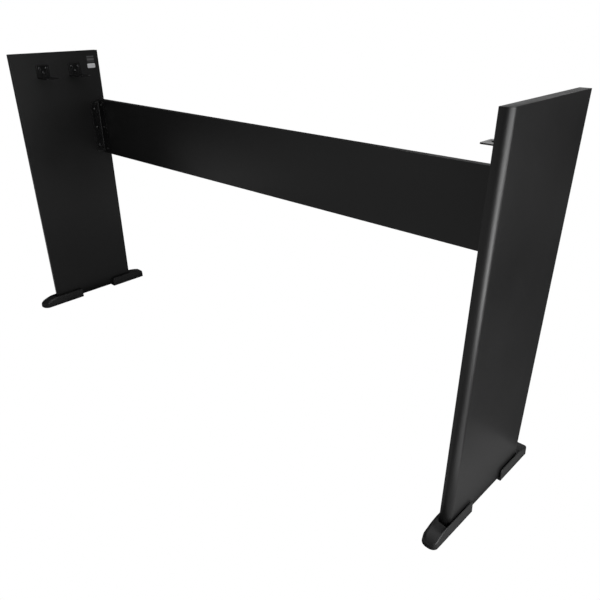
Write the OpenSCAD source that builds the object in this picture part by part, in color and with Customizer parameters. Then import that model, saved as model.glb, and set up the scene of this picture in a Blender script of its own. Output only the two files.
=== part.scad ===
// Slab-sided stand for an 88-key digital piano: two wrapped side panels, one back panel,
// four moulded feet, four keyboard brackets and two corner brackets, all screwed together.
// X runs along the keyboard, +Y to the rear, +Z up. The origin is on the floor, at the centre
// of the stand. Every right-hand piece is drawn once and mirrored for the left-hand side.

/* [Stand] */
// Width over the outer faces of the side panels
stand_w = 1366; // [1350:1:1420]
// Height of the side panels' top edge above the floor
stand_h = 696; // [670:1:740]

/* [Side panels] */
// Front-to-back depth of a side panel
panel_d = 252; // [240:1:300]
// Board thickness of a side panel
panel_t = 18; // [16:1:22]
// Radius of the wrapped corner along a panel's front outer edge
wrap_r = 14; // [4:1:15]
// Thickness of the edge bands
band_t = 0.8; // [0.4:0.1:2]

/* [Back panel] */
// Height of the back panel
back_h = 150; // [120:1:170]
// Board thickness of the back panel
back_t = 15; // [12:1:18]
// Height of the back panel's lower edge above the floor
back_z = 418; // [380:1:430]
// Distance from the side panels' rear edge to the back panel's rear face
back_inset = 4; // [0:1:20]

/* [Feet] */
// Thickness of a foot's floor, from the ground to the panel's lower edge
foot_floor = 6; // [4:0.5:10]
// Height of the rims that hold the panel
rim_h = 25; // [18:1:32]
// Overhang of a foot beyond the panel's outer face
lip_out = 5; // [4:0.5:8]
// Overhang of a foot beyond the panel's inner face
lip_in = 9; // [6:0.5:14]
// Reach of a foot beyond the panel's front or rear edge
foot_reach = 47; // [35:1:60]
// Length of a front foot
front_foot_l = 126; // [110:1:140]
// Length of a rear foot
rear_foot_l = 111; // [95:1:125]
// Height of a front foot's tip
nose_h = 10; // [6:1:16]
// Height of a rear foot's end
tail_h = 18; // [12:1:22]
// Gap between a panel's outer face and the foot's outer rim
slot_gap = 2; // [0.5:0.5:3]

/* [Keyboard brackets] */
// Height of the flanges that the keyboard rests on
rest_z = 637.5; // [600:0.5:650]
// Distance between the front and rear brackets' centres
bracket_pitch = 92; // [80:1:120]
// Middle of a bracket pair, towards the rear
bracket_mid = 4; // [-10:1:20]
// Width of a keyboard bracket
bracket_w = 36; // [30:1:45]
// Reach of a flange from the side panel
flange_reach = 52.5; // [45:0.5:60]
// Height of a bracket's wall plate, flange included
plate_h = 32.5; // [30:0.5:40]
// Distance from the side panel to the flange's hole
hole_reach = 38; // [30:1:40]
// Diameter of the hole for the keyboard's screw
hole_d = 9; // [6:0.5:10]

/* [Corner brackets] */
// Height of a corner bracket
corner_h = 140; // [120:1:145]
// Width of each leg of a corner bracket
corner_leg = 27; // [24:1:32]
// Spacing of the screws into the side panel
side_pitch = 50; // [40:1:55]
// Spacing of the screws into the back panel
rear_pitch = 61; // [45:1:62]

/* [Hidden] */
$fn = 64;
plate_t = 2;            // sheet steel of every bracket
bend_r = 1.5;           // inside radius of the brackets' bends
skirt = bend_r + plate_t;
plate_corner = 4;       // corner radius of the keyboard brackets
corner_cut = 5;         // chamfer on the corner brackets' free corners

head_r = 3.6;           // pan-head screws
head_h = 2.3;
dome_r = 6;
shank_r = 1.6;
pilot_gap = 0.1;        // radial play of a shank in its pilot hole
plate_hole_r = 2.2;
panel_screw_l = 14;     // into the side panels, under the head
back_screw_l = 13;      // into the back panel, under the head
pilot_extra = 1;

sink_head_r = 4;        // countersunk foot screws
sink_head_h = 2.4;
sink_shank_r = 1.9;
sink_screw_l = 26;
sink_play = 0.3;

pad_r = 8;              // round rubber pads under the feet
pad_t = 2.2;
sole_z = 0.3;           // height of a foot's moulded sole above the ground
slot_snug = 0.4;        // play at the slot's inner and end walls
slot_end = 3;           // room between a panel's edge and the slot's end wall
nose_r = 12;            // plan corners of a front foot's tip
tail_r = 4;             // plan corners of a rear foot's end
nose_start = 6;         // level stretch before a foot's top starts to fall
fall_lean = 4;          // distance from the start of the fall back to its arc's centre
rim_end_r = 8;          // rounding of a rear foot's leading top corner
heel_r = 2.5;           // rounding of a front foot's trailing top corner

label_t = 0.2;
label_w = 21;
label_h = 16;
label_y = 91;
label_z = 666;
sticker_w = 23.5;
sticker_h = 11.5;
sticker_y = 90;
sticker_z = 651.25;
sticker_r = 2.5;

out_x = stand_w / 2;
in_x = out_x - panel_t;
mid_x = out_x - panel_t / 2;
half_d = panel_d / 2;
back_y1 = half_d - back_inset;
back_y0 = back_y1 - back_t;
back_mid_z = back_z + back_h / 2;
foot_x0 = in_x - lip_in;
foot_x1 = out_x + lip_out;
foot_w = foot_x1 - foot_x0;
foot_y = half_d + foot_reach;
front_bracket_y = bracket_mid - bracket_pitch / 2;
rear_bracket_y = bracket_mid + bracket_pitch / 2;
plate_z0 = rest_z - plate_t;
plate_screws = [[-9.5, 24], [9.5, 24], [0, 13]];
front_foot_screws = [-108, -64];
rear_foot_screws = [78, 112];
front_pads = [-154, -86];
rear_pads = [95, 156];
side_screw_y = back_y0 - 16;
rear_screw_x = in_x - 17.5;
board_black = [0.09, 0.09, 0.09];
band_black = [0.11, 0.11, 0.11];
steel_black = [0.06, 0.06, 0.06];
foot_black = [0.14, 0.14, 0.14];
rubber_black = [0.04, 0.04, 0.04];
screw_grey = [0.35, 0.35, 0.36];

// ---- shared shapes ----

// Draws its children on the left-hand side
module left() {
    mirror([1, 0, 0]) children();
}

// Turns an outline drawn in Y and Z into a slab from x0 to x1
module across(x0, x1) {
    translate([x0, 0, 0])
        rotate([90, 0, 90])
            linear_extrude(x1 - x0) children();
}

// Rectangle from the origin whose two far corners (at y = l) are round
module tongue(w, l, r) {
    square([w, l - r]);
    translate([r, 0]) square([w - 2 * r, l]);
    translate([r, l - r]) circle(r);
    translate([w - r, l - r]) circle(r);
}

// Pan-head screw with a cross recess: the head sits on z = 0 and the shank goes down
module pan_screw(l) {
    difference() {
        rotate_extrude() {
            translate([0, -l + 2]) square([shank_r, l - 2]);
            polygon([[0, -l], [shank_r, -l + 2], [0, -l + 2]]);
            intersection() {
                translate([0, head_h - dome_r]) circle(dome_r);
                square([head_r, head_h]);
            }
        }
        cross_recess(head_h, 1.4, 3.6);
    }
}

// Cross recess, cut downwards from the height z
module cross_recess(z, deep, wide) {
    for (turn = [0, 90])
        rotate([0, 0, turn])
            translate([-wide / 2, -0.45, z - deep]) cube([wide, 0.9, deep + 1]);
}

// Countersunk screw: the flat head's face is at z = 0 and the shank goes up
module sink_screw(l) {
    difference() {
        rotate_extrude() {
            polygon([[0, 0], [sink_head_r, 0], [sink_shank_r, sink_head_h], [0, sink_head_h]]);
            translate([0, sink_head_h]) square([sink_shank_r, l - sink_head_h - 3]);
            polygon([[0, l - 3], [sink_shank_r, l - 3], [0, l]]);
        }
        for (turn = [0, 90])
            rotate([0, 0, turn]) translate([-2, -0.5, -1]) cube([4, 1, 2.4]);
    }
}

// ---- side panels ----

// Panel outline seen from above, with the wrapped corner at the front outer edge
module panel_plan() {
    translate([in_x, -half_d]) square([panel_t - wrap_r, panel_d - band_t]);
    translate([in_x, -half_d + wrap_r]) square([panel_t, panel_d - wrap_r - band_t]);
    intersection() {
        translate([out_x - wrap_r, -half_d + wrap_r]) circle(wrap_r);
        translate([out_x - wrap_r, -half_d]) square(wrap_r);
    }
}

// Pilot holes for the pieces that are screwed to a side panel
module panel_pilots() {
    for (y = [front_bracket_y, rear_bracket_y], p = plate_screws)
        side_pilot(y + p[0], plate_z0 + p[1]);
    for (z = [-side_pitch, 0, side_pitch])
        side_pilot(side_screw_y, back_mid_z + z);
    for (y = concat(front_foot_screws, rear_foot_screws))
        translate([mid_x, y, foot_floor - 1])
            cylinder(h = sink_screw_l - 3, r = sink_shank_r + pilot_gap);
}

module side_pilot(y, z) {
    translate([in_x - 1, y, z])
        rotate([0, 90, 0])
            cylinder(h = panel_screw_l - plate_t + pilot_extra + 1, r = shank_r + pilot_gap);
}

module right_side_panel() {
    color(board_black)
        difference() {
            translate([0, 0, foot_floor + band_t])
                linear_extrude(stand_h - foot_floor - 2 * band_t) panel_plan();
            panel_pilots();
        }
}

module right_top_edge_band() {
    color(band_black)
        translate([0, 0, stand_h - band_t]) linear_extrude(band_t) panel_plan();
}

module right_rear_edge_band() {
    color(band_black)
        translate([in_x, half_d - band_t, foot_floor])
            cube([panel_t, band_t, stand_h - foot_floor]);
}

module right_bottom_edge_band() {
    color(band_black)
        difference() {
            translate([0, 0, foot_floor]) linear_extrude(band_t) panel_plan();
            panel_pilots();
        }
}

module left_side_panel() { left() right_side_panel(); }
module left_top_edge_band() { left() right_top_edge_band(); }
module left_rear_edge_band() { left() right_rear_edge_band(); }
module left_bottom_edge_band() { left() right_bottom_edge_band(); }

// ---- back panel ----

module back_panel() {
    color(board_black)
        difference() {
            translate([-in_x, back_y0, back_z + band_t])
                cube([2 * in_x, back_t, back_h - 2 * band_t]);
            for (side = [-1, 1], z = [-rear_pitch, 0, rear_pitch])
                translate([side * rear_screw_x, back_y0 - 1, back_mid_z + z])
                    rotate([-90, 0, 0])
                        cylinder(h = back_screw_l - plate_t + pilot_extra + 1, r = shank_r + pilot_gap);
        }
}

// Band along the back panel, with its lower face at the height z
module back_band(z) {
    color(band_black)
        translate([-in_x, back_y0, z]) cube([2 * in_x, back_t, band_t]);
}

module back_panel_top_band() { back_band(back_z + back_h - band_t); }
module back_panel_bottom_band() { back_band(back_z); }

// ---- feet ----

// Part of a foot's side outline whose top falls in an arc, from rim_h at y0 to end_h at y1.
// It laps under the rim at its start and runs on past the foot's end.
module falling_top(y0, y1, end_h) {
    way = sign(y1 - y0);
    run = abs(y1 - y0);
    drop = rim_h - end_h;
    rise = (run * run + 2 * run * fall_lean + drop * drop) / (2 * drop);
    start = y0 - way * fall_lean;
    end = y1 + way * fall_lean;
    intersection() {
        translate([start, rim_h - rise]) circle(norm([rise, fall_lean]), $fn = 180);
        translate([min(start, end), sole_z]) square([abs(end - start), rim_h - sole_z]);
    }
}

// Rectangle in Y and Z from the sole to the rim, with one round top corner
module rim_outline(y0, y1, r, round_y) {
    translate([y0, sole_z]) square([y1 - y0, rim_h - r - sole_z]);
    translate([round_y > y0 ? y0 : y0 + r, sole_z]) square([y1 - y0 - r, rim_h - sole_z]);
    translate([round_y > y0 ? y1 - r : y0 + r, rim_h - r]) circle(r);
}

// Recesses in a foot's sole for its pads and its screws
module sole_cuts(pads, screws) {
    for (y = pads)
        translate([mid_x, y, -1]) cylinder(h = pad_t + 1, r = pad_r + 0.1);
    for (y = screws)
        translate([mid_x, y, 0]) {
            translate([0, 0, -1]) cylinder(h = sole_z + sink_play + 1, r = sink_head_r + sink_play);
            translate([0, 0, sole_z + sink_play])
                cylinder(h = sink_head_h, r1 = sink_head_r + sink_play, r2 = sink_shank_r + sink_play);
            cylinder(h = foot_floor + 1, r = sink_shank_r + sink_play);
        }
}

// Slot that the side panel stands in, from y0 to y1
module panel_slot(y0, y1) {
    translate([in_x - slot_snug, y0, foot_floor])
        cube([panel_t + slot_snug + slot_gap, y1 - y0, rim_h]);
}

module right_front_foot() {
    heel_y = -foot_y + front_foot_l;
    fall_y = -half_d - nose_start;
    color(foot_black)
        difference() {
            intersection() {
                translate([foot_x0, heel_y, 0])
                    mirror([0, 1, 0])
                        linear_extrude(rim_h) tongue(foot_w, front_foot_l, nose_r);
                across(foot_x0, foot_x1) {
                    rim_outline(fall_y + fall_lean / 2, heel_y, heel_r, heel_y);
                    falling_top(fall_y, -foot_y, nose_h);
                }
            }
            panel_slot(-half_d - slot_end, heel_y + 1);
            sole_cuts(front_pads, front_foot_screws);
        }
}

module right_rear_foot() {
    toe_y = foot_y - rear_foot_l;
    fall_y = half_d + nose_start;
    color(foot_black)
        difference() {
            intersection() {
                translate([foot_x0, toe_y, 0])
                    linear_extrude(rim_h) tongue(foot_w, rear_foot_l, tail_r);
                across(foot_x0, foot_x1) {
                    rim_outline(toe_y, fall_y - fall_lean / 2, rim_end_r, toe_y);
                    falling_top(fall_y, foot_y, tail_h);
                }
            }
            panel_slot(toe_y - 1, half_d + slot_end);
            sole_cuts(rear_pads, rear_foot_screws);
        }
}

module foot_screws(screws) {
    color(screw_grey)
        for (y = screws)
            translate([mid_x, y, sole_z + sink_play]) sink_screw(sink_screw_l);
}

module foot_pads(pads) {
    color(rubber_black)
        for (y = pads)
            translate([mid_x, y, 0]) cylinder(h = pad_t, r = pad_r);
}

module right_front_foot_screws() { foot_screws(front_foot_screws); }
module right_rear_foot_screws() { foot_screws(rear_foot_screws); }
module right_front_foot_pads() { foot_pads(front_pads); }
module right_rear_foot_pads() { foot_pads(rear_pads); }
module left_front_foot() { left() right_front_foot(); }
module left_rear_foot() { left() right_rear_foot(); }
module left_front_foot_screws() { left() right_front_foot_screws(); }
module left_rear_foot_screws() { left() right_rear_foot_screws(); }
module left_front_foot_pads() { left() right_front_foot_pads(); }
module left_rear_foot_pads() { left() right_rear_foot_pads(); }

// ---- brackets ----

// Quarter of a bend's section, its centre at the origin and its legs along +X and +Y
module bend_section() {
    intersection() {
        difference() {
            circle(skirt);
            circle(bend_r);
        }
        square(skirt);
    }
}

// Bracket on the right-hand panel, centred on y: a wall plate and a flange with one hole
module keyboard_bracket(y) {
    color(steel_black)
        translate([in_x, y, plate_z0])
            difference() {
                union() {
                    translate([-skirt, bracket_w / 2, skirt])
                        rotate([90, 0, 0]) mirror([0, 1, 0]) linear_extrude(bracket_w) bend_section();
                    translate([-skirt, -bracket_w / 2, 0])
                        rotate([0, 0, 90])
                            linear_extrude(plate_t) tongue(bracket_w, flange_reach - skirt, plate_corner);
                    translate([-plate_t, -bracket_w / 2, skirt])
                        rotate([90, 0, 90])
                            linear_extrude(plate_t) tongue(bracket_w, plate_h - skirt, plate_corner);
                }
                translate([-hole_reach, 0, plate_t / 2])
                    cylinder(h = 2 * plate_t, r = hole_d / 2, center = true);
                for (p = plate_screws)
                    translate([-plate_t / 2, p[0], p[1]])
                        rotate([0, 90, 0]) cylinder(h = 2 * plate_t, r = plate_hole_r, center = true);
            }
}

module bracket_screws(y) {
    color(screw_grey)
        for (p = plate_screws)
            translate([in_x - plate_t, y + p[0], plate_z0 + p[1]])
                rotate([0, -90, 0]) pan_screw(panel_screw_l);
}

module right_front_keyboard_bracket() { keyboard_bracket(front_bracket_y); }
module right_rear_keyboard_bracket() { keyboard_bracket(rear_bracket_y); }
module right_front_bracket_screws() { bracket_screws(front_bracket_y); }
module right_rear_bracket_screws() { bracket_screws(rear_bracket_y); }
module left_front_keyboard_bracket() { left() right_front_keyboard_bracket(); }
module left_rear_keyboard_bracket() { left() right_rear_keyboard_bracket(); }
module left_front_bracket_screws() { left() right_front_bracket_screws(); }
module left_rear_bracket_screws() { left() right_rear_bracket_screws(); }

// One leg of a corner bracket, from the bend outwards along x, with chamfered free corners
module leg_outline() {
    l = corner_leg - skirt;
    polygon([
        [0, 0], [l - corner_cut, 0], [l, corner_cut],
        [l, corner_h - corner_cut], [l - corner_cut, corner_h], [0, corner_h]
    ]);
}

module right_corner_bracket() {
    color(steel_black)
        translate([in_x, back_y0, back_mid_z - corner_h / 2])
            difference() {
                union() {
                    translate([-skirt, -skirt, 0]) linear_extrude(corner_h) bend_section();
                    translate([-plate_t, -skirt, 0])
                        mirror([0, 1, 0]) rotate([90, 0, 90]) linear_extrude(plate_t) leg_outline();
                    translate([-skirt, 0, 0])
                        mirror([1, 0, 0]) rotate([90, 0, 0]) linear_extrude(plate_t) leg_outline();
                }
                for (z = [-side_pitch, 0, side_pitch])
                    translate([-plate_t / 2, side_screw_y - back_y0, corner_h / 2 + z])
                        rotate([0, 90, 0]) cylinder(h = 2 * plate_t, r = plate_hole_r, center = true);
                for (z = [-rear_pitch, 0, rear_pitch])
                    translate([rear_screw_x - in_x, -plate_t / 2, corner_h / 2 + z])
                        rotate([90, 0, 0]) cylinder(h = 2 * plate_t, r = plate_hole_r, center = true);
            }
}

module right_corner_side_screws() {
    color(screw_grey)
        for (z = [-side_pitch, 0, side_pitch])
            translate([in_x - plate_t, side_screw_y, back_mid_z + z])
                rotate([0, -90, 0]) pan_screw(panel_screw_l);
}

module right_corner_back_screws() {
    color(screw_grey)
        for (z = [-rear_pitch, 0, rear_pitch])
            translate([rear_screw_x, back_y0 - plate_t, back_mid_z + z])
                rotate([90, 0, 0]) pan_screw(back_screw_l);
}

module left_corner_bracket() { left() right_corner_bracket(); }
module left_corner_side_screws() { left() right_corner_side_screws(); }
module left_corner_back_screws() { left() right_corner_back_screws(); }

// ---- labels on the left panel's inner face ----

// Blank rating label
module rating_label() {
    color("dimgray")
        translate([-in_x, label_y, label_z]) cube([label_t, label_w, label_h]);
}

// Blank white sticker with round corners
module inspection_label() {
    color("white")
        translate([-in_x, sticker_y, sticker_z])
            rotate([90, 0, 90])
                linear_extrude(label_t) {
                    translate([sticker_r, 0]) square([sticker_w - 2 * sticker_r, sticker_h]);
                    translate([0, sticker_r]) square([sticker_w, sticker_h - 2 * sticker_r]);
                    for (y = [sticker_r, sticker_w - sticker_r], z = [sticker_r, sticker_h - sticker_r])
                        translate([y, z]) circle(sticker_r);
                }
}

left_side_panel();
right_side_panel();
back_panel();
left_top_edge_band();
right_top_edge_band();
left_rear_edge_band();
right_rear_edge_band();
left_bottom_edge_band();
right_bottom_edge_band();
back_panel_top_band();
back_panel_bottom_band();
left_front_foot();
right_front_foot();
left_rear_foot();
right_rear_foot();
left_front_foot_screws();
right_front_foot_screws();
left_rear_foot_screws();
right_rear_foot_screws();
left_front_foot_pads();
right_front_foot_pads();
left_rear_foot_pads();
right_rear_foot_pads();
left_front_keyboard_bracket();
right_front_keyboard_bracket();
left_rear_keyboard_bracket();
right_rear_keyboard_bracket();
left_front_bracket_screws();
right_front_bracket_screws();
left_rear_bracket_screws();
right_rear_bracket_screws();
left_corner_bracket();
right_corner_bracket();
left_corner_side_screws();
right_corner_side_screws();
left_corner_back_screws();
right_corner_back_screws();
rating_label();
inspection_label();
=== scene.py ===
import math

import bmesh
import bpy
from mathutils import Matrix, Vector
from mathutils.geometry import tessellate_polygon


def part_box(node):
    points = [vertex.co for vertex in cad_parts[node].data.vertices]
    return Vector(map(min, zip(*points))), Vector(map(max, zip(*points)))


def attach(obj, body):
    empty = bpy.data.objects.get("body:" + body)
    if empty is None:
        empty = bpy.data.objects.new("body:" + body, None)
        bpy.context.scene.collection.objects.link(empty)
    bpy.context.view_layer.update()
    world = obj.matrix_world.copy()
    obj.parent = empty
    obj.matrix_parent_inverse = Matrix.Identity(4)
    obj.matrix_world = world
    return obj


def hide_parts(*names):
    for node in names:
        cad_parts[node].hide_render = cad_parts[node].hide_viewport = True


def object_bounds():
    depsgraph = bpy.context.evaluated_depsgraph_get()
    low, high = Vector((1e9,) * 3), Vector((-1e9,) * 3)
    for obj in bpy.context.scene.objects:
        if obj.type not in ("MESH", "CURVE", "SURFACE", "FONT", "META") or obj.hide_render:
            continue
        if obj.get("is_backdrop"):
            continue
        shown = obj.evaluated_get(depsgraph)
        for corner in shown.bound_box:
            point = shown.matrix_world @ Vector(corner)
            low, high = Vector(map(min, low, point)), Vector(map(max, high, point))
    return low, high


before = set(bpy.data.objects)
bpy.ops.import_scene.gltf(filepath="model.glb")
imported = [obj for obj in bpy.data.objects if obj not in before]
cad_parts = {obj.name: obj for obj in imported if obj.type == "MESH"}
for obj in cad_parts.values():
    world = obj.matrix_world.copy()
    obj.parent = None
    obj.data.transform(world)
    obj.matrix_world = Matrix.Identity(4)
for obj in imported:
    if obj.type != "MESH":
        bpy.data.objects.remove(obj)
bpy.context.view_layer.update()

MM = 0.001


# ---- outlines, in millimetres ----


def arc(cx, cy, r, start, end, steps):
    """Points on an arc, its angles in degrees."""
    turns = [math.radians(start + (end - start) * i / steps) for i in range(steps + 1)]
    return [Vector((cx + r * math.cos(a), cy + r * math.sin(a))) for a in turns]


def rounded(corners, steps=6):
    """Closed outline through corners (x, y, radius), with an arc at each corner."""
    points = []
    for i, (x, y, r) in enumerate(corners):
        here = Vector((x, y))
        if r <= 0:
            points.append(here)
            continue
        before = (Vector(corners[i - 1][:2]) - here).normalized()
        after = (Vector(corners[(i + 1) % len(corners)][:2]) - here).normalized()
        half = before.angle(after) / 2
        centre = here + (before + after).normalized() * (r / math.sin(half))
        first = here + before * (r / math.tan(half)) - centre
        last = here + after * (r / math.tan(half)) - centre
        a = math.atan2(first.y, first.x)
        turn = (math.atan2(last.y, last.x) - a + math.pi) % (2 * math.pi) - math.pi
        points += arc(
            centre.x, centre.y, r, math.degrees(a), math.degrees(a + turn), steps
        )
    return points


def plate_outline(u0, v0, u1, v1, r, steps=4):
    """Rectangle with its four corners rounded alike."""
    return rounded([(u0, v0, r), (u1, v0, r), (u1, v1, r), (u0, v1, r)], steps)


def circle(cx, cy, r, steps=32, hole=False):
    points = arc(cx, cy, r, 0, 360, steps)[:-1]
    return points[::-1] if hole else points


def inset(outline, d):
    """The outline moved by d to the left of its own direction."""
    moved = []
    for i, p in enumerate(outline):
        a = (p - outline[i - 1]).normalized()
        b = (outline[(i + 1) % len(outline)] - p).normalized()
        side = Vector((-(a.y + b.y), a.x + b.x)) / (1 + a.dot(b))
        moved.append(p + side * d)
    return moved


# ---- meshes, in millimetres ----


class Shape:
    """A mesh whose points are shared where they coincide."""

    def __init__(self):
        self.bm = bmesh.new()
        self.known = {}

    def point(self, p):
        key = tuple(round(c, 4) for c in p)
        if key not in self.known:
            self.known[key] = self.bm.verts.new(p)
        return self.known[key]

    def face(self, points):
        corners = []
        for p in points:
            v = self.point(p)
            if v not in corners:
                corners.append(v)
        if len(corners) > 2 and not self.bm.faces.get(corners):
            self.bm.faces.new(corners)

    def sleeve(self, rings):
        """Quads between each ring of points and the next."""
        for one, other in zip(rings, rings[1:]):
            for i in range(len(one)):
                self.face([one[i - 1], one[i], other[i], other[i - 1]])

    def loft(self, rings):
        """Closed solid through rings of points."""
        self.sleeve(rings)
        self.face(rings[0])
        self.face(rings[-1])

    def cap(self, loops):
        """Flat faces that fill the first loop and leave the others open."""
        flat = [p for loop in loops for p in loop]
        for corner in tessellate_polygon([[Vector(p) for p in loop] for loop in loops]):
            self.face([flat[i] for i in corner])

    def slab(self, outline, thick, r, holes=(), place=lambda u, v, w: (u, v, w)):
        """Plate between w = 0 and w = thick with rounded rims."""
        rim = [math.radians(a) for a in (0, 30, 60, 90)]
        rows = [(r - r * math.sin(a), r - r * math.cos(a)) for a in rim]
        rows += [(d, thick - w) for d, w in reversed(rows)]
        ends = []
        for loop in (outline, *holes):
            rings = [[place(p.x, p.y, w) for p in inset(loop, d)] for d, w in rows]
            self.sleeve(rings)
            flat = [(p.x, p.y, 0.0) for p in inset(loop, r)]
            ends.append((rings[0], rings[-1], flat))
        corners = tessellate_polygon([[Vector(p) for p in flat] for _, _, flat in ends])
        for end in (0, 1):
            placed = [p for e in ends for p in e[end]]
            for corner in corners:
                self.face([placed[i] for i in corner])

    def turned(self, profile, place, steps=32):
        """Solid of revolution from a profile of (radius, height), closed on its axis."""
        self.loft(
            [[place(p.x, p.y, h) for p in circle(0, 0, r, steps)] for r, h in profile]
        )


def finish_piece(shape, name, node, material, side=1, sharp=38):
    """Turns a shape into a piece that stands for a CAD node; side -1 mirrors it."""
    bm = shape.bm
    for v in bm.verts:
        v.co = Vector((v.co.x * side, v.co.y, v.co.z)) * MM
    bmesh.ops.recalc_face_normals(bm, faces=bm.faces)
    # recalc_face_normals can leave a bent plate inside out.
    if bm.calc_volume(signed=True) < 0:
        bmesh.ops.reverse_faces(bm, faces=bm.faces)
    mesh = bpy.data.meshes.new(name)
    bm.to_mesh(mesh)
    bm.free()
    mesh.shade_smooth()
    mesh.set_sharp_from_angle(angle=math.radians(sharp))
    mesh.materials.append(material)
    piece = bpy.data.objects.new(name, mesh)
    bpy.context.scene.collection.objects.link(piece)
    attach(piece, "root")
    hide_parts(node)
    return piece


def box(node):
    """Low and high corner of a CAD node, in millimetres."""
    low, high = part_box(node)
    return Vector(low) / MM, Vector(high) / MM


# ---- materials ----


def two_tone(nodes, dark_at, dark, light_at, light):
    """Ramp between two colours."""
    ramp = nodes.new("ShaderNodeValToRGB")
    first, last = ramp.color_ramp.elements
    first.position, first.color = dark_at, (*dark, 1)
    last.position, last.color = light_at, (*light, 1)
    return ramp


def surface(name, dark, light, rough, patch, layers, metal=0.0, specular=0.5):
    """Procedural finish: cloudy colour and roughness, and relief in layers.
    patch is the size of the clouds in metres. A layer is the grain's size along
    x, y and z, its depth and its contrast."""
    material = bpy.data.materials.new(name)
    material.use_nodes = True
    nodes, links = material.node_tree.nodes, material.node_tree.links
    shader = nodes["Principled BSDF"]
    shader.inputs["Metallic"].default_value = metal
    shader.inputs["Specular IOR Level"].default_value = specular
    where = nodes.new("ShaderNodeTexCoord")

    clouds = nodes.new("ShaderNodeTexNoise")
    clouds.inputs["Scale"].default_value = 1 / patch
    clouds.inputs["Detail"].default_value = 5
    links.new(where.outputs["Object"], clouds.inputs["Vector"])
    tint = two_tone(nodes, 0.35, dark, 0.68, light)
    links.new(clouds.outputs["Fac"], tint.inputs["Fac"])
    links.new(tint.outputs["Color"], shader.inputs["Base Color"])
    sheen = nodes.new("ShaderNodeMapRange")
    sheen.inputs["From Min"].default_value = 0.3
    sheen.inputs["From Max"].default_value = 0.7
    sheen.inputs["To Min"].default_value = rough[0]
    sheen.inputs["To Max"].default_value = rough[1]
    links.new(clouds.outputs["Fac"], sheen.inputs["Value"])
    links.new(sheen.outputs["Result"], shader.inputs["Roughness"])

    below = None
    for size_x, size_y, size_z, depth, contrast in layers:
        stretch = nodes.new("ShaderNodeMapping")
        stretch.inputs["Scale"].default_value = (1 / size_x, 1 / size_y, 1 / size_z)
        links.new(where.outputs["Object"], stretch.inputs["Vector"])
        grain = nodes.new("ShaderNodeTexNoise")
        grain.inputs["Scale"].default_value = 1
        grain.inputs["Detail"].default_value = 3
        grain.inputs["Roughness"].default_value = 0.6
        links.new(stretch.outputs["Vector"], grain.inputs["Vector"])
        shape = nodes.new("ShaderNodeMapRange")
        shape.interpolation_type = "SMOOTHSTEP"
        shape.inputs["From Min"].default_value = 0.5 - contrast
        shape.inputs["From Max"].default_value = 0.5 + contrast
        links.new(grain.outputs["Fac"], shape.inputs["Value"])
        bump = nodes.new("ShaderNodeBump")
        bump.inputs["Strength"].default_value = 1.0
        bump.inputs["Distance"].default_value = depth
        links.new(shape.outputs["Result"], bump.inputs["Height"])
        if below:
            links.new(below.outputs["Normal"], bump.inputs["Normal"])
        below = bump
    links.new(below.outputs["Normal"], shader.inputs["Normal"])
    return material


def grey(value):
    return (value, value, value * 1.02)


def speckle(size, depth):
    """Layer of even grain."""
    return (size, size, size, depth, 0.3)


def foil(name, grain):
    """Wrap of the boards; grain is the size of its embossing along x, y and z."""
    return surface(
        name, grey(0.0065), grey(0.0085), (0.36, 0.41), 0.16,
        [(*grain, 0.000003, 0.2), speckle(0.0006, 0.000002)],
    )


def ruled(material, pitch, dark, light):
    """Paints level rules across a material, at a pitch in metres."""
    nodes, links = material.node_tree.nodes, material.node_tree.links
    wave = nodes.new("ShaderNodeTexWave")
    wave.bands_direction = "Z"
    wave.inputs["Scale"].default_value = 2 * math.pi / (20 * pitch)
    stripes = two_tone(nodes, 0.3, dark, 0.5, light)
    where = next(n for n in nodes if n.type == "TEX_COORD")
    paint = nodes["Principled BSDF"].inputs["Base Color"]
    links.new(where.outputs["Object"], wave.inputs["Vector"])
    links.new(wave.outputs["Fac"], stripes.inputs["Fac"])
    links.new(stripes.outputs["Color"], paint)


GRAIN_WIDTH, GRAIN_LENGTH = 0.0004, 0.007
upright_foil = foil("upright_foil", (GRAIN_WIDTH, GRAIN_WIDTH, GRAIN_LENGTH))
level_foil = foil("level_foil", (GRAIN_LENGTH, GRAIN_WIDTH, GRAIN_WIDTH))
band_film = surface(
    "band_film", grey(0.012), grey(0.016), (0.38, 0.46), 0.05,
    [speckle(0.0008, 0.000008)],
)
moulded = surface(
    "moulded_plastic", grey(0.013), grey(0.018), (0.40, 0.48), 0.02,
    [speckle(0.0006, 0.000006), speckle(0.012, 0.00001)], specular=0.42,
)
powder_coat = surface(
    "powder_coat", grey(0.0080), grey(0.0105), (0.16, 0.24), 0.01,
    [speckle(0.0009, 0.000008)], specular=0.4,
)
zinc = surface(
    "black_zinc", grey(0.07), grey(0.10), (0.20, 0.28), 0.002,
    [speckle(0.0004, 0.000004)], metal=1.0,
)
rubber = surface(
    "rubber", grey(0.014), grey(0.02), (0.7, 0.8), 0.006, [speckle(0.0006, 0.00002)]
)
grey_film = surface(
    "grey_film", grey(0.060), grey(0.075), (0.45, 0.55), 0.01,
    [speckle(0.001, 0.000004)],
)
ruled(grey_film, 0.0088, grey(0.035), grey(0.12))
white_film = surface(
    "white_film", grey(0.80), grey(0.86), (0.5, 0.6), 0.008,
    [speckle(0.0008, 0.000005)],
)


# ---- boards and bands ----

FOIL_EDGE = 0.6
panel_low, panel_high = box("right_side_panel")
band_low, band_high = box("right_rear_edge_band")
IN_X, OUT_X = panel_low.x, panel_high.x
WRAP_R = 14.0
BOARD_RIM, BAND_RIM = 0.12, 0.25


def plan(y0, y1, front_r):
    """Side panel's outline from above: round at the front outer corner."""
    return rounded(
        [
            (IN_X, y0, FOIL_EDGE),
            (OUT_X, y0, front_r),
            (OUT_X, y1, 0.2),
            (IN_X, y1, 0.2),
        ],
        16,
    )


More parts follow.
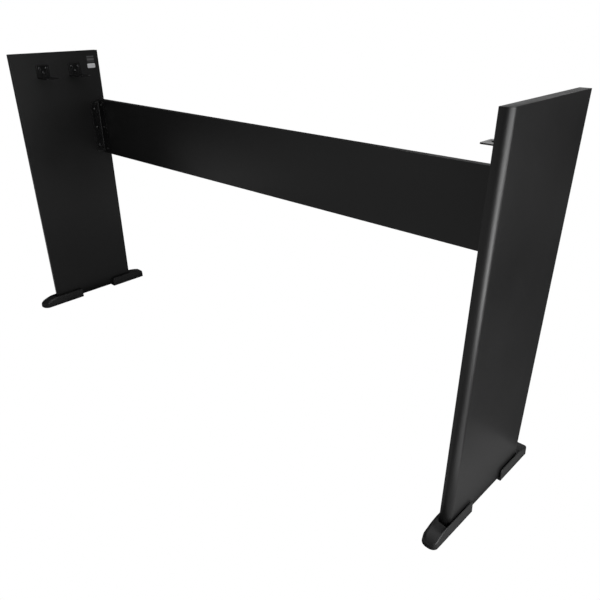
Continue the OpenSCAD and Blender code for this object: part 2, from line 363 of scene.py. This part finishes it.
def upright(outline, z0, z1, r):
    shape = Shape()
    shape.slab(outline, z1 - z0, r, place=lambda u, v, w: (u, v, z0 + w))
    return shape


for side, way in (("left", -1), ("right", 1)):
    outline = plan(panel_low.y, panel_high.y, WRAP_R)
    finish_piece(
        upright(outline, panel_low.z, panel_high.z, BOARD_RIM),
        f"{side}_side_board", f"{side}_side_panel", upright_foil, way,
    )
    for end in ("top", "bottom"):
        low, high = box(f"right_{end}_edge_band")
        finish_piece(
            upright(outline, low.z, high.z, BAND_RIM),
            f"{side}_{end}_band", f"{side}_{end}_edge_band", band_film, way,
        )
    shape = Shape()
    shape.slab(
        plate_outline(IN_X, band_low.z, OUT_X, band_high.z, 0.3),
        band_high.y - band_low.y, BAND_RIM,
        place=lambda u, v, w: (u, band_high.y - w, v),
    )
    finish_piece(
        shape, f"{side}_rear_band", f"{side}_rear_edge_band", band_film, way
    )

for node, name, material, slot, r in (
    ("back_panel", "back_board", level_foil, "board_wrap", BOARD_RIM),
    ("back_panel_top_band", "back_board_top_band", band_film, "edge_band", BAND_RIM),
    (
        "back_panel_bottom_band", "back_board_bottom_band", band_film, "edge_band",
        BAND_RIM,
    ),
):
    low, high = box(node)
    outline = plate_outline(low.x, low.y, high.x, high.y, 0.4)
    finish_piece(upright(outline, low.z, high.z, r), name, node, material)


# ---- feet ----

SLOT_IN, SLOT_OUT = IN_X - 0.4, OUT_X + 2.0
WELL_Z = 6.0
SOLE_Z = 0.3
RIM_Z = 25.0
DRAFT = 1.2
SLOT_WALL = 129.0
FALL_START = 132.0
FALL_LEAN = 4.0
RIM_ROUND = 1.6
PAD_SINK_R, PAD_SINK_Z = 8.1, 2.2
SCREW_SINK = ((4.3, 0.6), (2.2, 3.0))
LIP = 0.5
DISH_RUN = 24.0


def falling(reach, tip, end_z):
    """Height of a foot's top at a distance from the middle of the stand."""
    if reach <= FALL_START:
        return RIM_Z
    run, drop = tip - FALL_START, RIM_Z - end_z
    rise = (run * run + 2 * run * FALL_LEAN + drop * drop) / (2 * drop)
    along = reach - FALL_START + FALL_LEAN
    return RIM_Z - rise + math.sqrt(rise**2 + FALL_LEAN**2 - along**2)


def foot_section(y, x0, x1, top, well, tilt, r_in, r_out, keel):
    """Closed outline of a foot across its length; keel is its lower edges' chamfer.
    tilt is how far the slot's floor rises to the inner rim, from 0 to 1."""
    draft = DRAFT * (top - SOLE_Z) / (RIM_Z - SOLE_Z)
    so = min(SLOT_OUT, x1 - draft - r_out - 0.3)
    si = max(SLOT_IN, x0 + draft + r_in + 0.3)
    high = well + (top - well) * tilt
    lip_in = min(LIP, (top - high) * 0.5)
    lip = min(LIP, (top - well) * 0.5)
    points = [(x0 + keel, SOLE_Z), (x1 - keel, SOLE_Z), (x1, SOLE_Z + keel)]
    points += [tuple(p) for p in arc(x1 - draft - r_out, top - r_out, r_out, 0, 90, 6)]
    points += [(so + lip, top), (so + lip * 0.3, top - lip * 0.3), (so, top - lip)]
    points += [(so, well + lip), (so - lip, well)]
    points += [(si + lip_in, high), (si, high + lip_in), (si, top - lip_in)]
    points += [(si - lip_in * 0.3, top - lip_in * 0.3), (si - lip_in, top)]
    points += [tuple(p) for p in arc(x0 + draft + r_in, top - r_in, r_in, 90, 180, 8)]
    points += [(x0, SOLE_Z + keel)]
    return [(x, y, z) for x, z in points]


def corner_cut(reach, tip, r):
    """How far one corner of a foot's tip narrows it, at a distance from the middle."""
    return r - math.sqrt(r * r - max(0.0, reach - tip + r) ** 2)


def foot(
    node, way, open_r, plan_in, plan_out, round_in, end_z, tip_r, dish, screws, pads
):
    """Foot for the right-hand panel. way is -1 in front and 1 at the rear.
    open_r rounds the rims at the slot's open end, plan_in and plan_out the tip's
    corners from above, round_in the inner rim and tip_r the tip's upper edge.
    end_z is the top's height at the tip and dish how far the deck dips at the slot."""
    low, high = box(node)
    tip = max(abs(low.y), abs(high.y))
    heel = min(abs(low.y), abs(high.y))
    stations = []
    for i in range(6):
        a = math.radians(90 * i / 5)
        y = heel + open_r * (1 - math.cos(a))
        stations.append((y, RIM_Z - open_r + open_r * math.sin(a), WELL_Z))
    for y in (90, 110, 120, SLOT_WALL):
        stations.append((y, RIM_Z, WELL_Z))
    for y, fill in ((SLOT_WALL, 0.97), (SLOT_WALL + 0.5, 1.0)):
        stations.append((y, RIM_Z, WELL_Z + (RIM_Z - dish - WELL_Z) * fill))
    start = tip - plan_in
    for i in range(1, 15):
        y = SLOT_WALL + 0.5 + (start - SLOT_WALL - 0.5) * i / 14
        top = falling(y, tip, end_z)
        left = max(0.0, 1 - (y - SLOT_WALL) / DISH_RUN)
        stations.append((y, top, top - dish * left * left * (3 - 2 * left)))
    for i in range(1, 13):
        y = start + plan_in * math.sin(math.radians(90 * i / 12))
        soft = max(0.0, (y - tip + tip_r) / tip_r)
        top = falling(y, tip, end_z) - tip_r * (1 - math.sqrt(max(0, 1 - soft**2)))
        stations.append((y, top, top))

    shape = Shape()
    rows = []
    sole_in, sole_out = [], []
    for y, top, well in stations:
        cut_in = corner_cut(min(y, tip), tip, plan_in)
        cut_out = corner_cut(min(y, tip), tip, plan_out)
        nose = min(1.0, max(0.0, (y - SLOT_WALL) / 20))
        swell = min(1.0, max(0.0, (y - SLOT_WALL + 12) / 32))
        width = high.x - low.x - cut_in - cut_out
        limit = min((top - SOLE_Z) * 0.6, (width - 2) * 0.45)
        r_in = min(RIM_ROUND + (round_in - RIM_ROUND) * swell, limit)
        r_out = min(1.3 + 1.7 * nose, limit)
        late = max(0.0, (y - start) / plan_in) ** 2
        keel = 0.5 + 0.7 * late
        tilt = 1.0 if y > SLOT_WALL else 0.0
        row = foot_section(
            y * way, low.x + cut_in, high.x - cut_out, top, well, tilt, r_in, r_out,
            keel,
        )
        under = (y - late) * way
        row[0] = (row[0][0], under, row[0][2])
        row[1] = (row[1][0], under, row[1][2])
        rows.append(row)
        sole_in.append(row[0])
        sole_out.append(row[1])
    for one, other in zip(rows, rows[1:]):
        for i in range(2, len(one)):
            shape.face([one[i - 1], one[i], other[i], other[i - 1]])
        shape.face([one[-1], one[0], other[0], other[-1]])
    for row in (rows[0], rows[-1]):
        shape.face(row)

    mid_x = (IN_X + OUT_X) / 2
    loops = [sole_in + sole_out[::-1]]
    sinks = [(y, ((PAD_SINK_R, SOLE_Z), (PAD_SINK_R, PAD_SINK_Z))) for y in pads]
    sinks += [
        (y, ((SCREW_SINK[0][0], SOLE_Z), SCREW_SINK[0], SCREW_SINK[1]))
        for y in screws
    ]
    for y, profile in sinks:
        rings = [[(p.x, p.y, z) for p in circle(mid_x, y, r, 32)] for r, z in profile]
        loops.append(rings[0])
        shape.sleeve(rings)
        shape.face(rings[-1])
    clean = []
    for p in loops[0]:
        if not clean or (Vector(p) - Vector(clean[-1])).length > 1e-3:
            clean.append(p)
    loops[0] = clean
    shape.cap(loops)
    return shape


def centres(node, r):
    """First and last centre along Y in a row of round things of radius r."""
    low, high = box(node)
    return low.y + r, high.y - r


HEAD_R, SINK_R, PAD_R = 3.6, 4.0, 8.0
for end, way, open_r, plan_in, plan_out, round_in, end_z, tip_r, dish in (
    ("front", -1, 2.5, 17.0, 11.0, 7.0, 10.0, 3.2, 5.0),
    ("rear", 1, 8.0, 4.0, 4.0, 4.0, 18.0, 1.4, 1.2),
):
    screws = centres(f"right_{end}_foot_screws", SINK_R)
    pads = centres(f"right_{end}_foot_pads", PAD_R)
    for side, flip in (("left", -1), ("right", 1)):
        finish_piece(
            foot(
                f"right_{end}_foot", way, open_r, plan_in, plan_out, round_in, end_z,
                tip_r, dish, screws, pads,
            ),
            f"{side}_{end}_shoe", f"{side}_{end}_foot", moulded, flip, 30,
        )
        shape = Shape()
        for y in pads:
            shape.turned(
                [
                    (4.6, 0.25), (5.0, 0.0), (7.2, 0.0), (7.8, 0.2),
                    (PAD_R, 0.6), (PAD_R, 2.0), (7.8, 2.2),
                ],
                lambda u, v, w, y=y: ((IN_X + OUT_X) / 2 + u, y + v, w),
                40,
            )
        finish_piece(
            shape, f"{side}_{end}_pads", f"{side}_{end}_foot_pads", rubber,
            flip,
        )


# ---- brackets ----

PLATE_T, BEND_R = 2.0, 1.5
SKIRT = BEND_R + PLATE_T
BEND_RUN = math.pi / 2 * (BEND_R + PLATE_T / 2)
PLATE_EDGE = 0.25
SCREW_HOLE_R = 2.2
REST_CORNER_R = 4
REST_HOLE_R, REST_HOLE_OUT = 4.5, 38.0
REST_SCREWS = ((-9.5, 24), (9.5, 24), (0, 13))
CORNER_CUT, CUT_R = 5.0, 0.6
BACK_PITCH, BACK_OUT = 61, 17.5
SIDE_PITCH, SIDE_OUT = 50, 16


def bent(shape, leg, place):
    """Bends a flat plate round a line at u = leg, then puts it in place."""
    for i in range(9):
        cut = leg + BEND_RUN * i / 8
        geometry = shape.bm.verts[:] + shape.bm.edges[:] + shape.bm.faces[:]
        bmesh.ops.bisect_plane(
            shape.bm, geom=geometry, dist=1e-4, plane_co=(cut, 0, 0), plane_no=(1, 0, 0)
        )
    for vert in shape.bm.verts:
        u, v, w = vert.co
        a = max(0.0, min(1.0, (u - leg) / BEND_RUN)) * math.pi / 2
        r = SKIRT - w
        p, q = r * math.sin(a) - SKIRT, SKIRT - r * math.cos(a)
        p -= max(0.0, leg - u)
        q += max(0.0, u - leg - BEND_RUN)
        vert.co = place(p, v, q)
    return shape


def keyboard_bracket(node):
    low, high = box(node)
    mid_y, half = (low.y + high.y) / 2, (high.y - low.y) / 2
    leg = high.x - low.x - SKIRT
    wall = high.z - low.z - SKIRT
    end = leg + BEND_RUN + wall
    outline = plate_outline(0, -half, end, half, REST_CORNER_R, 8)
    to_hole = leg + SKIRT - REST_HOLE_OUT
    up = leg + BEND_RUN - SKIRT
    holes = [circle(to_hole, 0, REST_HOLE_R, 40, hole=True)]
    for y, z in REST_SCREWS:
        holes.append(circle(up + z, y, SCREW_HOLE_R, 24, hole=True))
    shape = Shape()
    shape.slab(outline, PLATE_T, PLATE_EDGE, holes)
    return bent(shape, leg, lambda p, v, q: (high.x + p, mid_y + v, low.z + q))


def corner_bracket(node):
    low, high = box(node)
    leg = high.x - low.x - SKIRT
    tall = high.z - low.z
    end = 2 * leg + BEND_RUN
    cut = CORNER_CUT
    corners = [
        (cut, 0), (end - cut, 0), (end, cut), (end, tall - cut),
        (end - cut, tall), (cut, tall), (0, tall - cut), (0, cut),
    ]
    outline = rounded([(u, v, CUT_R) for u, v in corners], 3)
    mid = tall / 2
    back = leg + SKIRT - BACK_OUT
    across = end - (leg + SKIRT - SIDE_OUT)
    holes = []
    for step in (-1, 0, 1):
        holes.append(circle(back, mid + step * BACK_PITCH, SCREW_HOLE_R, 24, hole=True))
        holes.append(circle(across, mid + step * SIDE_PITCH, SCREW_HOLE_R, 24, hole=True))
    shape = Shape()
    shape.slab(outline, PLATE_T, PLATE_EDGE, holes)
    return bent(shape, leg, lambda p, v, q: (high.x + p, high.y - q, low.z + v))


# ---- screws ----


TURN_STEPS = 48
DOME_R, DOME_H = 6.0, 2.3
PAN_SHANK_R, SINK_SHANK_R = 1.6, 1.9
RECESS_DEEP = 1.4


def ring(place, r, w):
    """Level ring of points round a screw's axis."""
    return [place(p.x, p.y, w) for p in circle(0, 0, r, TURN_STEPS)]


def recess(x, y, reach, half, deep):
    """Depth of a tapered cross recess at a point of a screw's head."""
    x, y = abs(x), abs(y)
    inside = max(min(half - x, reach - y), min(half - y, reach - x))
    if inside <= 0:
        return 0.0
    floor = deep * (1 - 0.55 * math.hypot(x, y) / reach)
    return min(floor, inside * 4.5)


def pan_screw(shape, place, length):
    """Pan-head screw: the head's seat is at w = 0 and the shank goes down."""
    radii = [0.001, 0.2, 0.35, 0.5, 0.7, 0.9, 1.1, 1.3, 1.5, 1.65, 1.8, 1.95, 2.2]
    radii += [2.6, 3.0, 3.3, 3.48]
    rings = []
    for r in radii:
        top = DOME_H - DOME_R + math.sqrt(DOME_R**2 - r**2)
        rings.append(
            [
                place(p.x, p.y, top - recess(p.x, p.y, 1.85, 0.5, RECESS_DEEP))
                for p in circle(0, 0, r, TURN_STEPS)
            ]
        )
    rings += [
        ring(place, 3.58, 0.95),
        ring(place, HEAD_R, 0.7),
        ring(place, HEAD_R, 0.15),
        ring(place, 3.5, 0),
        ring(place, PAN_SHANK_R, 0),
        ring(place, PAN_SHANK_R, 2 - length),
        ring(place, 0.02, 0.05 - length),
    ]
    shape.loft(rings)


def sink_screw(shape, place, length):
    """Countersunk screw: the head's face is at w = 0 and the shank goes up."""
    radii = [0.001, 0.25, 0.45, 0.65, 0.9, 1.15, 1.4, 1.6, 1.8, 1.95, 2.1, 2.3, 3, 3.9]
    rings = []
    for r in radii:
        rings.append(
            [
                place(p.x, p.y, recess(p.x, p.y, 2.0, 0.55, RECESS_DEEP))
                for p in circle(0, 0, r, TURN_STEPS)
            ]
        )
    rings += [
        ring(place, SINK_R, 0.1),
        ring(place, SINK_R, 0.3),
        ring(place, SINK_SHANK_R, 2.4),
        ring(place, SINK_SHANK_R, length - 3),
        ring(place, 0.02, length),
    ]
    shape.loft(rings)


def wall_place(x, y, z):
    """Head towards -X, on the side panel's inner face."""
    return lambda u, v, w: (x - w, y + u, z + v)


def rear_place(x, y, z):
    """Head towards -Y, on the back panel's front face."""
    return lambda u, v, w: (x + u, y - w, z + v)


for side, flip in (("left", -1), ("right", 1)):
    for end in ("front", "rear"):
        low, high = box(f"right_{end}_bracket_screws")
        mid_y = (low.y + high.y) / 2
        seat = IN_X - PLATE_T
        shape = Shape()
        for y, z in (
            (low.y + HEAD_R, high.z - HEAD_R),
            (high.y - HEAD_R, high.z - HEAD_R),
            (mid_y, low.z + HEAD_R),
        ):
            pan_screw(shape, wall_place(seat, y, z), high.x - seat)
        finish_piece(
            shape, f"{side}_{end}_plate_screws", f"{side}_{end}_bracket_screws", zinc,
            flip,
        )
        finish_piece(
            keyboard_bracket(f"right_{end}_keyboard_bracket"),
            f"{side}_{end}_rest_bracket", f"{side}_{end}_keyboard_bracket", powder_coat,
            flip, 30,
        )
        low, high = box(f"right_{end}_foot_screws")
        shape = Shape()
        for y in (low.y + SINK_R, high.y - SINK_R):
            sink_screw(
                shape,
                lambda u, v, w, y=y: ((IN_X + OUT_X) / 2 + u, y + v, low.z + w),
                high.z - low.z,
            )
        finish_piece(
            shape, f"{side}_{end}_shoe_screws", f"{side}_{end}_foot_screws", zinc,
            flip,
        )
    finish_piece(
        corner_bracket("right_corner_bracket"),
        f"{side}_back_bracket", f"{side}_corner_bracket", powder_coat,
        flip, 30,
    )
    low, high = box("right_corner_side_screws")
    shape = Shape()
    for z in (low.z + HEAD_R, (low.z + high.z) / 2, high.z - HEAD_R):
        pan_screw(
            shape, wall_place(IN_X - PLATE_T, (low.y + high.y) / 2, z),
            high.x - IN_X + PLATE_T,
        )
    finish_piece(
        shape, f"{side}_side_screws", f"{side}_corner_side_screws", zinc,
        flip,
    )
    low, high = box("right_corner_back_screws")
    seat = box("back_panel")[0].y - PLATE_T
    shape = Shape()
    for z in (low.z + HEAD_R, (low.z + high.z) / 2, high.z - HEAD_R):
        pan_screw(
            shape, rear_place((low.x + high.x) / 2, seat, z), high.y - seat
        )
    finish_piece(
        shape, f"{side}_back_screws", f"{side}_corner_back_screws", zinc,
        flip,
    )


# ---- labels ----

LABEL_RIM = 0.06
for node, name, material, slot, r in (
    ("rating_label", "rating_plate", grey_film, "label_grey", 0.8),
    ("inspection_label", "inspection_sticker", white_film, "label_white", 2.5),
):
    low, high = box(node)
    shape = Shape()
    shape.slab(
        plate_outline(low.y, low.z, high.y, high.z, r, 8),
        high.x - low.x, LABEL_RIM,
        place=lambda u, v, w: (low.x + w, u, v),
    )
    finish_piece(shape, name, node, material)


# ---- stage ----


def seen_by_camera(nodes, links, shown, felt):
    """Mixes two shaders: the camera sees shown, and felt lights the object."""
    path = nodes.new("ShaderNodeLightPath")
    mix = nodes.new("ShaderNodeMixShader")
    links.new(path.outputs["Is Camera Ray"], mix.inputs["Fac"])
    links.new(felt.outputs[0], mix.inputs[1])
    links.new(shown.outputs[0], mix.inputs[2])
    return mix


def gradient(nodes, links, source, direction, start, end, low, high):
    """Value that goes from low to high as source, a vector, advances along direction."""
    along = nodes.new("ShaderNodeVectorMath")
    along.operation = "DOT_PRODUCT"
    links.new(source, along.inputs[0])
    along.inputs[1].default_value = direction
    ramp = nodes.new("ShaderNodeMapRange")
    ramp.interpolation_type = "SMOOTHSTEP"
    ramp.inputs["From Min"].default_value = start
    ramp.inputs["From Max"].default_value = end
    ramp.inputs["To Min"].default_value = low
    ramp.inputs["To Max"].default_value = high
    links.new(along.outputs["Value"], ramp.inputs["Value"])
    return ramp.outputs["Result"]


ROOM_DIM, ROOM_LIT = 0.05, 0.15

world = bpy.data.worlds.new("studio")
bpy.context.scene.world = world
world.use_nodes = True
nodes, links = world.node_tree.nodes, world.node_tree.links
nodes.clear()
white = nodes.new("ShaderNodeBackground")
white.inputs["Color"].default_value = (1, 1, 1, 1)
white.inputs["Strength"].default_value = 1.0
room = nodes.new("ShaderNodeBackground")
room.inputs["Color"].default_value = (1, 1, 1, 1)
view = nodes.new("ShaderNodeTexCoord")
links.new(
    gradient(
        nodes, links, view.outputs["Generated"], (0.66, 0.66, -0.36), 0.1, 0.65,
        ROOM_DIM, ROOM_LIT,
    ),
    room.inputs["Strength"],
)
out = nodes.new("ShaderNodeOutputWorld")
links.new(seen_by_camera(nodes, links, white, room).outputs[0], out.inputs["Surface"])

FLOOR_HALF = 40.0
floor_mesh = bpy.data.meshes.new("floor")
floor_mesh.from_pydata(
    [
        (x * FLOOR_HALF, y * FLOOR_HALF, 0)
        for x, y in ((-1, -1), (1, -1), (1, 1), (-1, 1))
    ],
    [],
    [(0, 1, 2, 3)],
)
floor = bpy.data.objects.new("floor", floor_mesh)
bpy.context.scene.collection.objects.link(floor)
paper = bpy.data.materials.new("white_paper")
paper.use_nodes = True
nodes, links = paper.node_tree.nodes, paper.node_tree.links
nodes.clear()
bright = nodes.new("ShaderNodeEmission")
bright.inputs["Color"].default_value = (1, 1, 1, 1)
bright.inputs["Strength"].default_value = 1.0
pale = nodes.new("ShaderNodeBsdfDiffuse")
pale.inputs["Color"].default_value = (0.15, 0.15, 0.15, 1)
clear = nodes.new("ShaderNodeBsdfTransparent")
facing = nodes.new("ShaderNodeNewGeometry")
from_below = nodes.new("ShaderNodeMixShader")
links.new(facing.outputs["Backfacing"], from_below.inputs["Fac"])
links.new(seen_by_camera(nodes, links, bright, pale).outputs[0], from_below.inputs[1])
links.new(clear.outputs[0], from_below.inputs[2])
out = nodes.new("ShaderNodeOutputMaterial")
links.new(from_below.outputs[0], out.inputs["Surface"])
floor_mesh.materials.append(paper)
floor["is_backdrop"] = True


def softbox(name, place, aim, width, height, radiance):
    """Area light of an even radiance that the camera doesn't see."""
    data = bpy.data.lights.new(name, "AREA")
    data.shape = "RECTANGLE"
    data.size, data.size_y = width, height
    data.energy = radiance * math.pi * width * height
    light = bpy.data.objects.new(name, data)
    bpy.context.scene.collection.objects.link(light)
    light.location = place
    towards = Vector(aim) - Vector(place)
    light.rotation_euler = towards.to_track_quat("-Z", "Y").to_euler()
    light.visible_camera = False


def column(name, bearing, low_z, high_z, width, radiance):
    """Upright softbox on the floor beside the right panel; bearing is from the front."""
    turn = math.radians(bearing)
    x = CORNER_X + COLUMN_AWAY * math.sin(turn)
    y = CORNER_Y - COLUMN_AWAY * math.cos(turn)
    z = (low_z + high_z) / 2
    softbox(name, (x, y, z), (CORNER_X, CORNER_Y, z), width, high_z - low_z, radiance)


def card(name, x0, x1, y0, y1, radiance):
    """Bright patch on the floor, seen only in what the object reflects."""
    x, y = (x0 + x1) / 2, (y0 + y1) / 2
    softbox(name, (x, y, 0.001), (x, y, 1), x1 - x0, y1 - y0, radiance)


CORNER_X, CORNER_Y = 0.669, -0.112
COLUMN_AWAY = 0.8
column("column_front", 70, 0.0, 0.85, 0.28, 3.9)
column("column_low", 90, 0.0, 0.5, 0.28, 8.8)
column("column_high", 100, 0.5, 0.85, 0.56, 5.6)
softbox("front_box", (0.0, -2.4, 0.7), (0.0, 0.0, 0.5), 2.0, 1.4, 0.25)
softbox("front_left_box", (-1.6, -2.6, 0.9), (0.0, 0.0, 0.5), 2.0, 1.8, 0.26)
softbox("back_box", (-0.75, 3.2, 1.2), (0.3, 0.0, 0.7), 1.4, 1.0, 0.7)
softbox("high_box", (2.5, -0.5, 2.5), (0.0, 0.0, 0.5), 1.5, 1.5, 2.2)
softbox("overhead_box", (-0.3, 0.0, 2.8), (0.0, 0.0, 0.0), 1.6, 1.6, 1.5)
card("left_card", -0.635, -0.2, -0.6, 0.45, 0.155)
card("middle_card", -0.2, 0.65, -0.6, 0.45, 0.25)
card("front_card", -3.0, 3.0, -3.0, -0.6, 0.27)
card("back_card", -0.65, 0.55, 0.45, 0.85, 0.36)
card("right_card", 0.69, 0.79, -0.3, 0.18, 0.175)
card("corner_card", 0.79, 1.15, -0.28, 0.0, 0.9)
card("far_left_card", -3.6, -0.72, -0.6, 3.5, 0.5)
card("far_back_card", -0.72, 0.6, 0.85, 3.5, 0.45)
card("far_right_card", 0.6, 3.5, 1.6, 4.0, 0.06)

camera_data = bpy.data.cameras.new("camera")
camera = bpy.data.objects.new("camera", camera_data)
bpy.context.scene.collection.objects.link(camera)
camera.location = (1.0111, -0.8475, 0.8035)
camera.rotation_euler = [math.radians(a) for a in (62.042, 0.261, 43.243)]
camera_data.sensor_width = 36.0
camera_data.lens = 36.378
camera_data.shift_x = 0.00804
camera_data.shift_y = 0.04508
camera_data.clip_end = 200.0
bpy.context.scene.camera = camera
bpy.context.scene.view_settings.view_transform = "Standard"

low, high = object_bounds()
